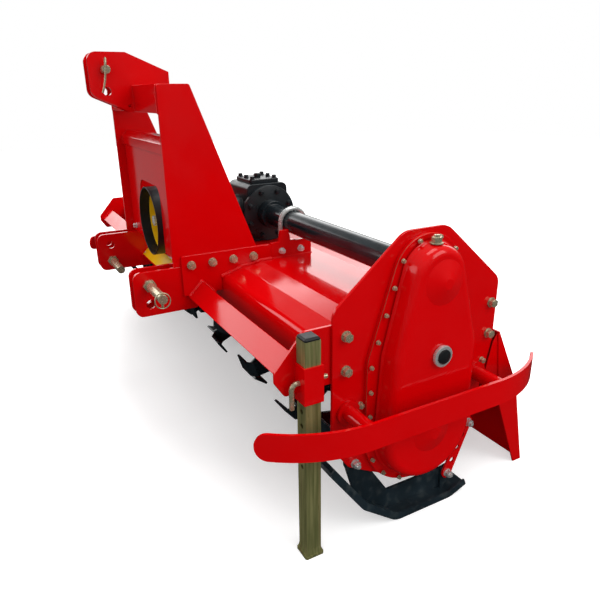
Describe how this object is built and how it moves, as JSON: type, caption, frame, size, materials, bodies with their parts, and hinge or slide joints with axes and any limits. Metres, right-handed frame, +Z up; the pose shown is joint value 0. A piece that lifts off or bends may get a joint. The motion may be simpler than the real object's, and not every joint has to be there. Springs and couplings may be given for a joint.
{
  "type": "rotary tiller",
  "caption": "Three-point-hitch rotary tiller: PTO gearbox and cross tube drive a side chain case and a hooded rotor of L blades, with mast, rear door, skids, guards and a parking stand.",
  "frame": {"origin": "centre of the overall box at floor level", "axes": "+Z up; the hitch faces -Y, towards the tractor; the chain case is on +X"},
  "size_m": [2.302, 1, 1.221],
  "materials": {
    "red_paint": "glossy red powder coat",
    "black_paint": "semi-gloss blue-black enamel",
    "skid_paint": "satin blue-black paint",
    "yellow_zinc": "yellow-passivated zinc plate with streaks",
    "bright_zinc": "bright zinc plate",
    "black_plastic": "moulded black plastic",
    "yellow_plastic": "moulded yellow plastic",
    "gasket_fibre": "brown gasket fibre"
  },
  "bodies": {
    "frame": {"bearing_cap": "black_paint", "case_gasket": "gasket_fibre", "chain_case": "red_paint", "chain_case_cover": "red_paint", "clamp_bracket": "red_paint", "clevis_drive": "red_paint", "clevis_far": "red_paint", "cross_tube_drive": "black_paint", "cross_tube_far": "black_paint", "end_wall_drive": "red_paint", "end_wall_far": "red_paint", "filler_plug": "yellow_zinc", "foot_bracket_drive": "red_paint", "foot_bracket_far": "red_paint", "front_bar": "red_paint", "gearbox": "black_paint", "gearbox_lid": "black_paint", "guard_drive": "red_paint", "guard_far": "red_paint", "hinge_rod": "black_paint", "hitch_pin_drive": "yellow_zinc", "hitch_pin_far": "yellow_zinc", "hood": "red_paint", "mast_front_panel": "red_paint", "mast_mid_beam": "red_paint", "mast_side_drive": "red_paint", "mast_side_far": "red_paint", "mast_top_beam": "red_paint", "pto_shield": "black_plastic", "rotor_bearing_drive": "black_paint", "rotor_bearing_far": "black_paint", "shield_liner": "yellow_plastic", "side_plate_drive": "red_paint", "side_plate_far": "red_paint", "sight_plug": "bright_zinc", "skid_adjuster_drive": "red_paint", "skid_adjuster_far": "red_paint", "skid_drive": "skid_paint", "skid_far": "skid_paint", "stand_pin": "yellow_zinc", "stand_socket": "red_paint", "top_hitch_plates": "red_paint", "top_link_pin": "yellow_zinc", "tube_clamp": "bright_zinc"},
    "rotor": {"rotor_shaft": "black_paint", "rotor_tines": "black_paint"},
    "input_shaft": {"input_shaft": "bright_zinc"},
    "rear_door": {"rear_door": "red_paint"},
    "stand_leg": {"parking_leg": "yellow_zinc", "leg_foot": "yellow_zinc", "leg_cap": "black_plastic"}
  },
  "joints": [
    {"name": "rotor_spin", "type": "hinge", "parent": "frame", "child": "rotor", "pos_m": [0, 0.061, 0.274], "axis": [1, 0, 0], "continuous": true},
    {"name": "input_spin", "type": "hinge", "parent": "frame", "child": "input_shaft", "pos_m": [0.078, -0.304, 0.684], "axis": [0, 1, 0], "continuous": true},
    {"name": "door_swing", "type": "hinge", "parent": "frame", "child": "rear_door", "pos_m": [0, 0.314, 0.488], "axis": [1, 0, 0], "range_deg": [0, 60]},
    {"name": "leg_slide", "type": "slide", "parent": "frame", "child": "stand_leg", "axis": [0, 0, 1], "range_m": [0, 0.225]}
  ],
  "couplings": [
    {"joint": "input_spin", "follows": "rotor_spin", "ratio": 2.5714}
  ]
}
